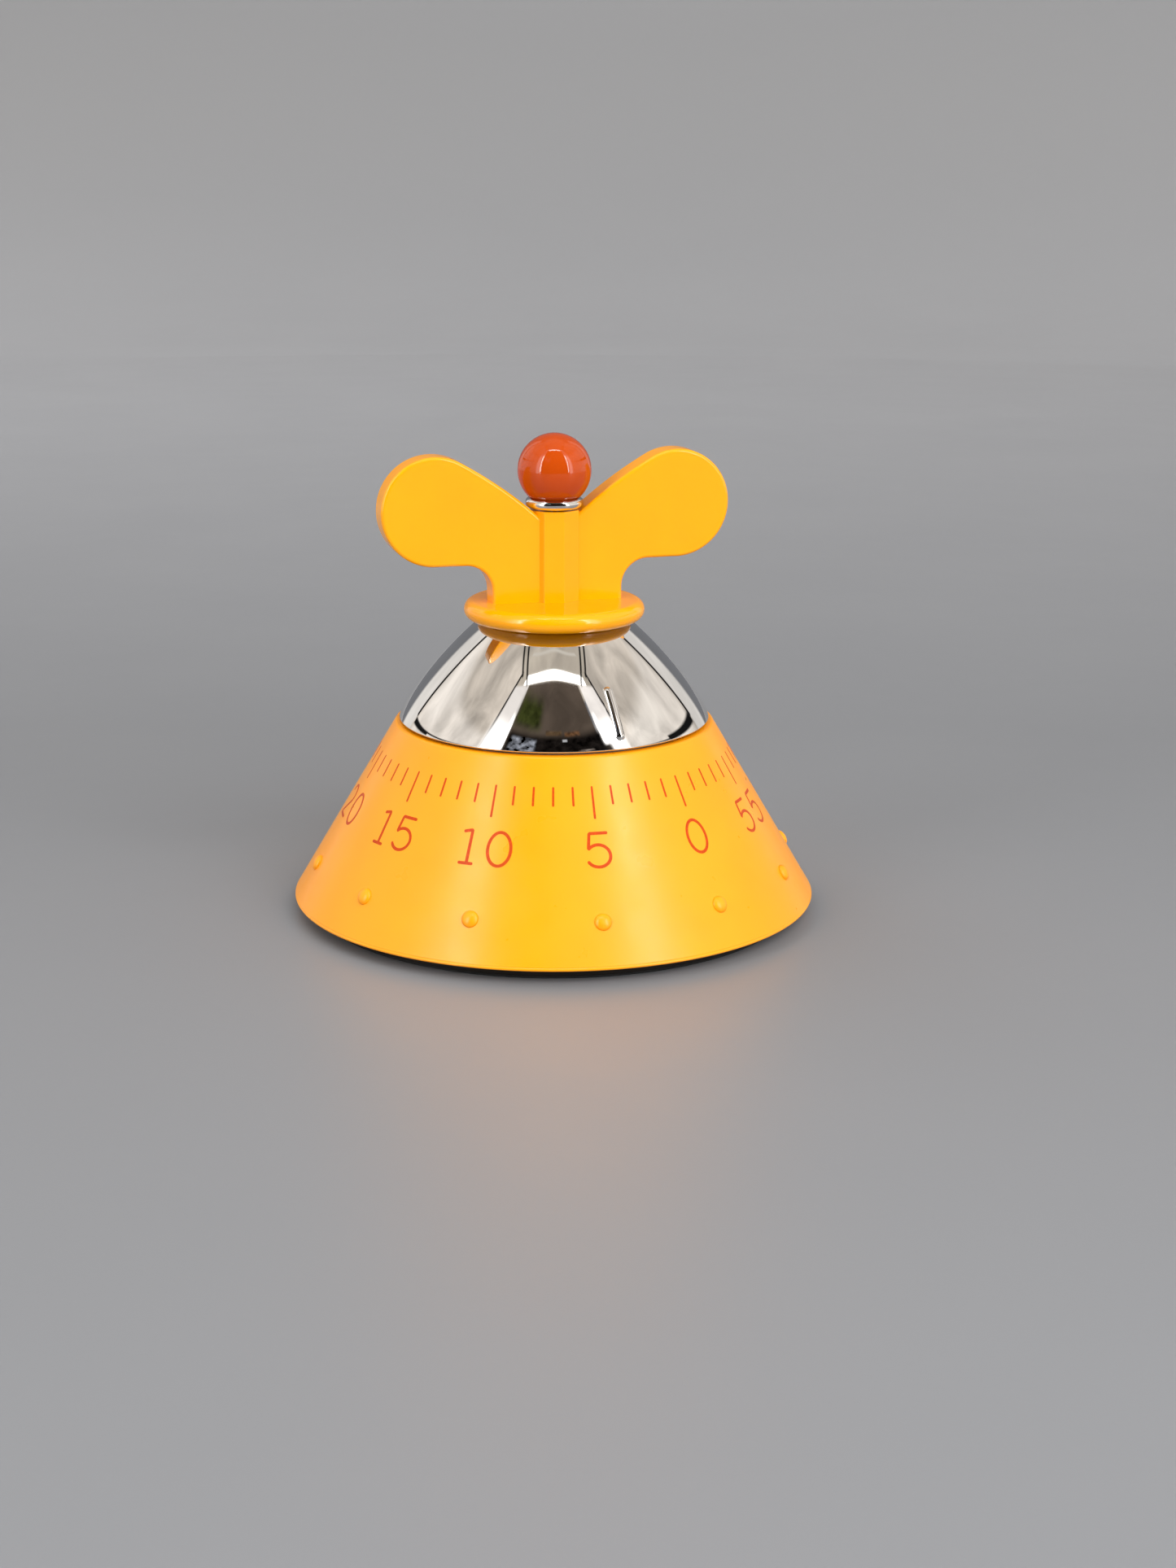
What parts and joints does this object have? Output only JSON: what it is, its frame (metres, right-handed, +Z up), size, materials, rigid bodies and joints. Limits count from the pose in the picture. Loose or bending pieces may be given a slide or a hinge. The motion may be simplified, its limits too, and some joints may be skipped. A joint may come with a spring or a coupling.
{
  "type": "kitchen timer",
  "caption": "Free-standing clockwork kitchen timer: cone base with a minute scale, chrome dome, two-winged knob and a ball on top.",
  "frame": {"origin": "centre of the foot ring's underside, on the knob's turning axis", "axes": "+Z up along the knob's axis, the knob's wings along X, the index mark towards -Y"},
  "size_m": [0.108, 0.108, 0.0981],
  "materials": {
    "yellow_plastic": "satin moulded plastic",
    "orange_plastic": "glossy moulded plastic",
    "chrome": "mirror polished",
    "dark_plastic": "matt moulded plastic",
    "grey_plastic": "matt moulded plastic",
    "rubber": "matt",
    "steel": "turned and polished",
    "blued_steel": "blued spring steel",
    "brass": "stamped and brushed"
  },
  "bodies": {
    "base": {"base_shell": "yellow_plastic", "base_cover": "dark_plastic", "foot_ring": "rubber", "cover_screw_1": "steel", "cover_screw_2": "steel", "cover_screw_3": "steel", "bell_post": "brass", "bell": "steel", "bell_screw": "steel", "bottom_plate": "steel", "top_plate": "steel", "plate_pillar_1": "brass", "plate_pillar_2": "brass", "plate_pillar_3": "brass", "plate_pillar_4": "brass", "movement_screw_1": "steel", "movement_screw_2": "steel", "movement_screw_3": "steel", "arbor_bush": "brass", "mainspring": "blued_steel", "spring_post": "steel"},
    "dial": {"dome": "chrome", "knob": "yellow_plastic", "collar_ring": "chrome", "ball_finial": "orange_plastic", "finial_stud": "steel", "dome_carrier": "grey_plastic", "winding_arbor": "steel", "great_wheel": "brass", "clutch_spring": "blued_steel", "trip_cam": "steel", "arbor_clip": "blued_steel"},
    "second_wheel_set": {"second_arbor": "steel", "second_wheel": "brass", "hammer_star": "steel"},
    "third_wheel_set": {"third_arbor": "steel", "third_wheel": "brass"},
    "escape_wheel_set": {"escape_arbor": "steel", "escape_wheel": "brass"},
    "anchor_set": {"anchor": "steel", "anchor_arbor": "steel"},
    "balance_set": {"balance_wheel": "brass", "balance_staff": "steel", "hairspring": "blued_steel"},
    "hammer_set": {"hammer_arbor": "steel", "hammer_lever": "steel", "hammer_arm": "steel", "hammer_head": "brass"}
  },
  "joints": [
    {"name": "dial_turn", "type": "hinge", "parent": "base", "child": "dial", "pos_m": [0, 0, 0], "axis": [0, 0, 1], "range_deg": [-343.25, 16.75]},
    {"name": "second_turn", "type": "hinge", "parent": "base", "child": "second_wheel_set", "pos_m": [-0.01579, -0.00575, 0], "axis": [0, 0, 1], "range_deg": [-100.5, 2059.5]},
    {"name": "third_turn", "type": "hinge", "parent": "base", "child": "third_wheel_set", "pos_m": [-0.00535, -0.01508, 0], "axis": [0, 0, 1], "range_deg": [-12357, 603]},
    {"name": "escape_turn", "type": "hinge", "parent": "base", "child": "escape_wheel_set", "pos_m": [0.00717, -0.01651, 0], "axis": [0, 0, 1], "range_deg": [-3618, 74142]},
    {"name": "anchor_rock", "type": "hinge", "parent": "base", "child": "anchor_set", "pos_m": [0.01302, -0.01093, 0], "axis": [0, 0, 1], "range_deg": [-4, 4]},
    {"name": "balance_swing", "type": "hinge", "parent": "base", "child": "balance_set", "pos_m": [0.01674, -0.00295, 0], "axis": [0, 0, 1], "range_deg": [-120, 120]},
    {"name": "hammer_swing", "type": "hinge", "parent": "base", "child": "hammer_set", "pos_m": [-0.02443, 0.00889, 0], "axis": [0, 0, 1], "range_deg": [-3.3, 5]}
  ],
  "couplings": [
    {"joint": "second_turn", "follows": "dial_turn", "ratio": -6},
    {"joint": "third_turn", "follows": "dial_turn", "ratio": 36},
    {"joint": "escape_turn", "follows": "dial_turn", "ratio": -216}
  ]
}
